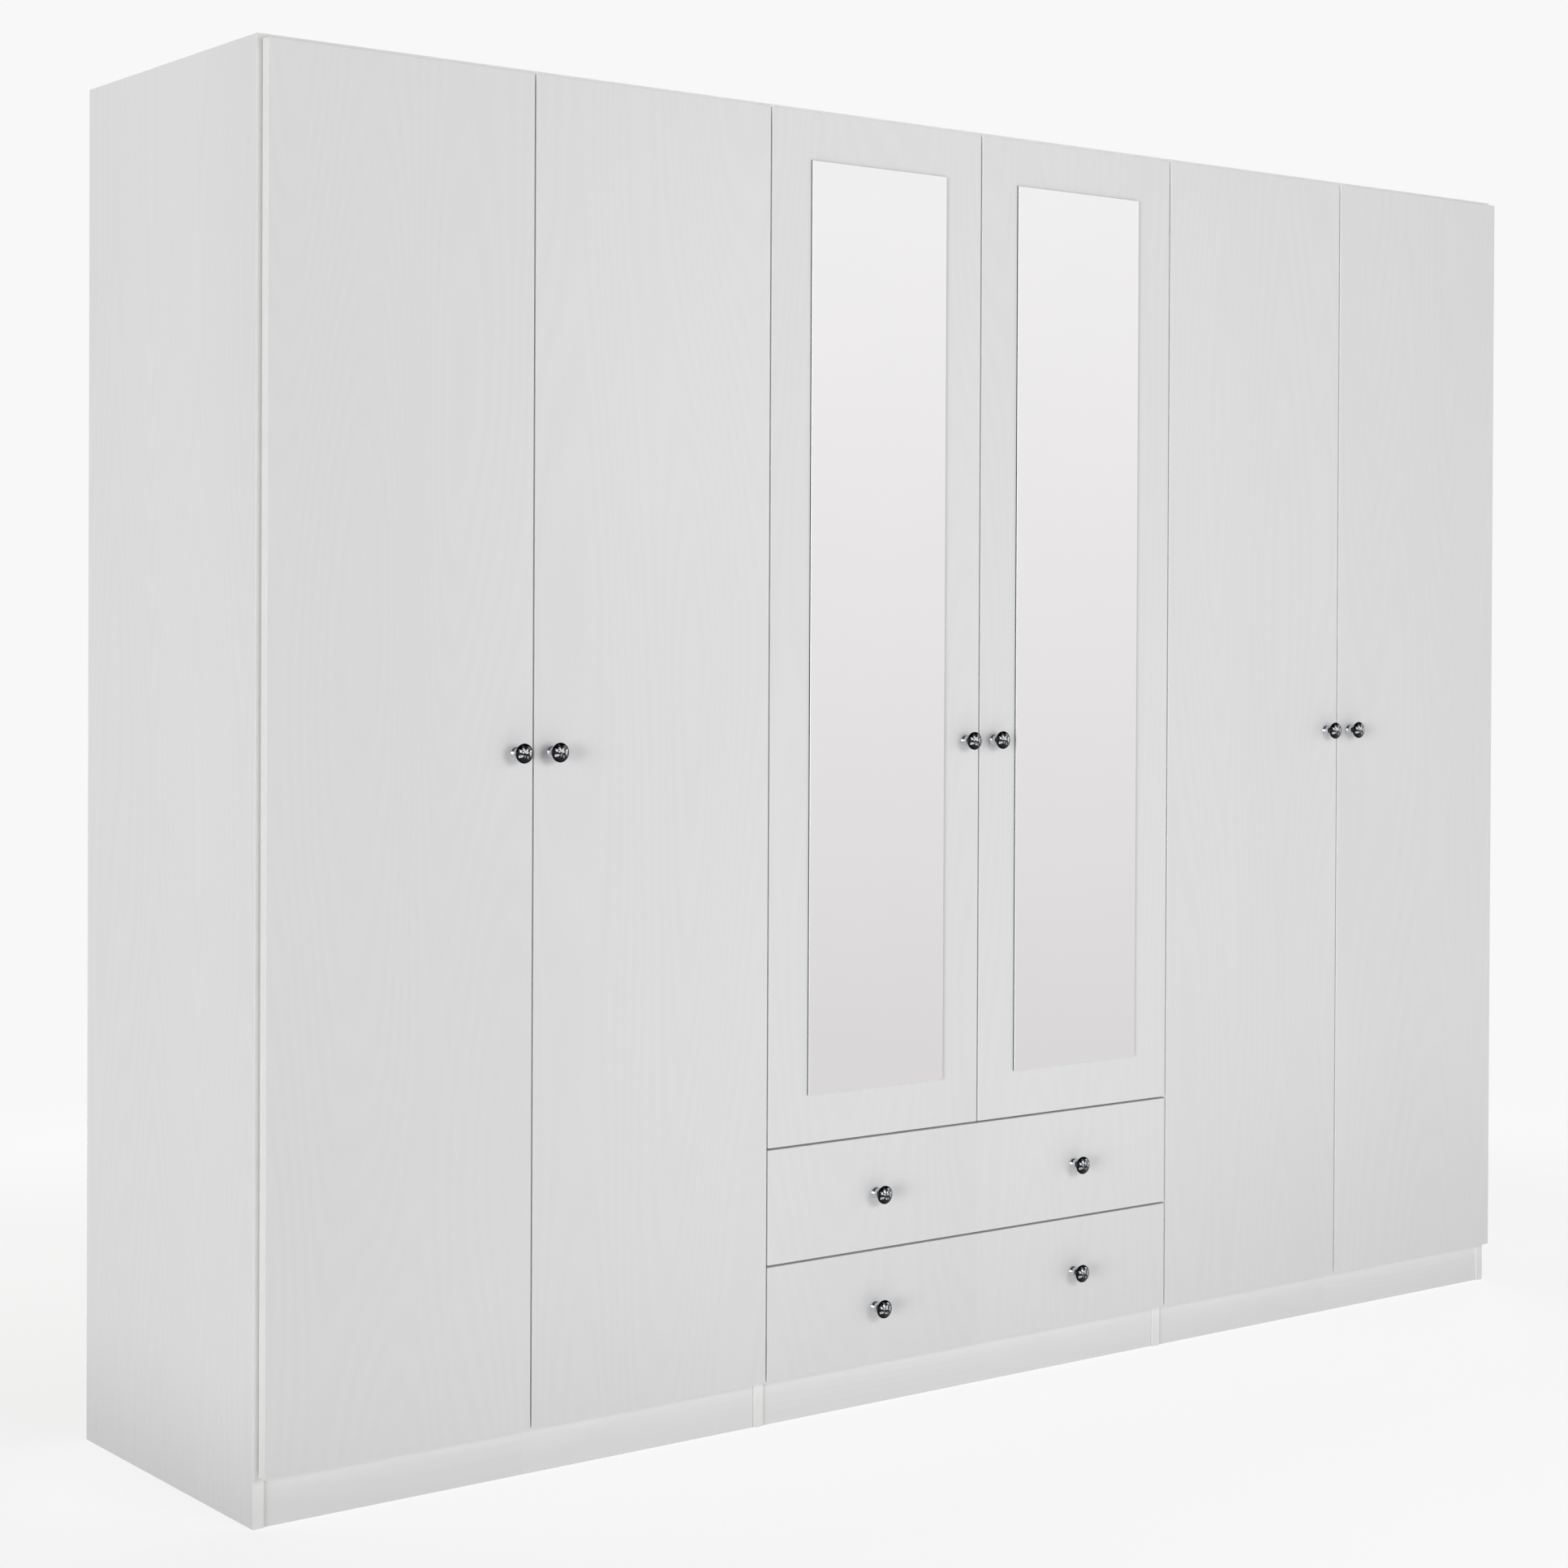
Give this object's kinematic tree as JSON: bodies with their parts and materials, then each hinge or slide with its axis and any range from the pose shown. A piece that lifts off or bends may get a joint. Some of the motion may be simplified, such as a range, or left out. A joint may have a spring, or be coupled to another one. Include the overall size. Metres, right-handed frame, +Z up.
{
  "type": "armoire",
  "caption": "White wood-grain wardrobe with side-by-side bays, hinged doors, mirrored middle doors over full-width drawers, crystal knobs, hanging rails and shelves.",
  "frame": {"origin": "middle of the footprint on the floor, knobs included", "axes": "+X to the viewer's right along the front, +Y to the back, +Z up; the doors face -Y"},
  "size_m": [2.398, 0.5588, 1.9],
  "materials": {
    "board_foil": "white ash-grain foil, satin",
    "hardboard": "white-painted hardboard, matt",
    "drawer_foil": "plain white foil, satin",
    "mirror_glass": "silvered float glass, polished",
    "knob_chrome": "polished chrome with a clear faceted front",
    "rail_chrome": "chromed steel tube",
    "hinge_steel": "nickel-plated pressed steel",
    "runner_enamel": "white epoxy-coated steel"
  },
  "bodies": {
    "carcass": {"left_side": "board_foil", "left_divider": "board_foil", "right_divider": "board_foil", "right_side": "board_foil", "left_top": "board_foil", "left_base": "board_foil", "left_plinth": "board_foil", "centre_top": "board_foil", "centre_base": "board_foil", "centre_plinth": "board_foil", "right_top": "board_foil", "right_base": "board_foil", "right_plinth": "board_foil", "left_hat_shelf": "board_foil", "centre_shelf": "board_foil", "right_hat_shelf": "board_foil", "drawer_deck": "board_foil", "back_panel": "hardboard", "left_rail": "rail_chrome", "right_rail": "rail_chrome", "door_1_hinge_low": "hinge_steel", "door_1_hinge_high": "hinge_steel", "door_2_hinge_low": "hinge_steel", "door_2_hinge_high": "hinge_steel", "door_3_hinge_low": "hinge_steel", "door_3_hinge_high": "hinge_steel", "door_4_hinge_low": "hinge_steel", "door_4_hinge_high": "hinge_steel", "door_5_hinge_low": "hinge_steel", "door_5_hinge_high": "hinge_steel", "door_6_hinge_low": "hinge_steel", "door_6_hinge_high": "hinge_steel", "lower_drawer_left_runner": "runner_enamel", "lower_drawer_right_runner": "runner_enamel", "upper_drawer_left_runner": "runner_enamel", "upper_drawer_right_runner": "runner_enamel"},
    "door_1": {"door_1": "board_foil", "door_1_knob": "knob_chrome"},
    "door_2": {"door_2": "board_foil", "door_2_knob": "knob_chrome"},
    "door_3": {"door_3": "board_foil", "door_3_knob": "knob_chrome", "door_3_mirror": "mirror_glass"},
    "door_4": {"door_4": "board_foil", "door_4_knob": "knob_chrome", "door_4_mirror": "mirror_glass"},
    "door_5": {"door_5": "board_foil", "door_5_knob": "knob_chrome"},
    "door_6": {"door_6": "board_foil", "door_6_knob": "knob_chrome"},
    "lower_drawer": {"lower_drawer_front": "board_foil", "lower_drawer_box": "drawer_foil", "lower_drawer_bottom": "hardboard", "lower_drawer_left_knob": "knob_chrome", "lower_drawer_right_knob": "knob_chrome"},
    "upper_drawer": {"upper_drawer_front": "board_foil", "upper_drawer_box": "drawer_foil", "upper_drawer_bottom": "hardboard", "upper_drawer_left_knob": "knob_chrome", "upper_drawer_right_knob": "knob_chrome"}
  },
  "joints": [
    {"name": "door_1_hinge", "type": "hinge", "parent": "carcass", "child": "door_1", "pos_m": [-1.185, -0.25035, 0.98], "axis": [0, 0, -1], "range_deg": [0, 95]},
    {"name": "door_2_hinge", "type": "hinge", "parent": "carcass", "child": "door_2", "pos_m": [-0.4055, -0.25035, 0.98], "axis": [0, 0, 1], "range_deg": [0, 85]},
    {"name": "door_3_hinge", "type": "hinge", "parent": "carcass", "child": "door_3", "pos_m": [-0.3885, -0.25035, 1.148], "axis": [0, 0, -1], "range_deg": [0, 85]},
    {"name": "door_4_hinge", "type": "hinge", "parent": "carcass", "child": "door_4", "pos_m": [0.3885, -0.25035, 1.148], "axis": [0, 0, 1], "range_deg": [0, 85]},
    {"name": "door_5_hinge", "type": "hinge", "parent": "carcass", "child": "door_5", "pos_m": [0.4055, -0.25035, 0.98], "axis": [0, 0, -1], "range_deg": [0, 85]},
    {"name": "door_6_hinge", "type": "hinge", "parent": "carcass", "child": "door_6", "pos_m": [1.185, -0.25035, 0.98], "axis": [0, 0, 1], "range_deg": [0, 95]},
    {"name": "lower_drawer_slide", "type": "slide", "parent": "carcass", "child": "lower_drawer", "axis": [0, -1, 0], "range_m": [0, 0.33]},
    {"name": "upper_drawer_slide", "type": "slide", "parent": "carcass", "child": "upper_drawer", "axis": [0, -1, 0], "range_m": [0, 0.33]}
  ]
}
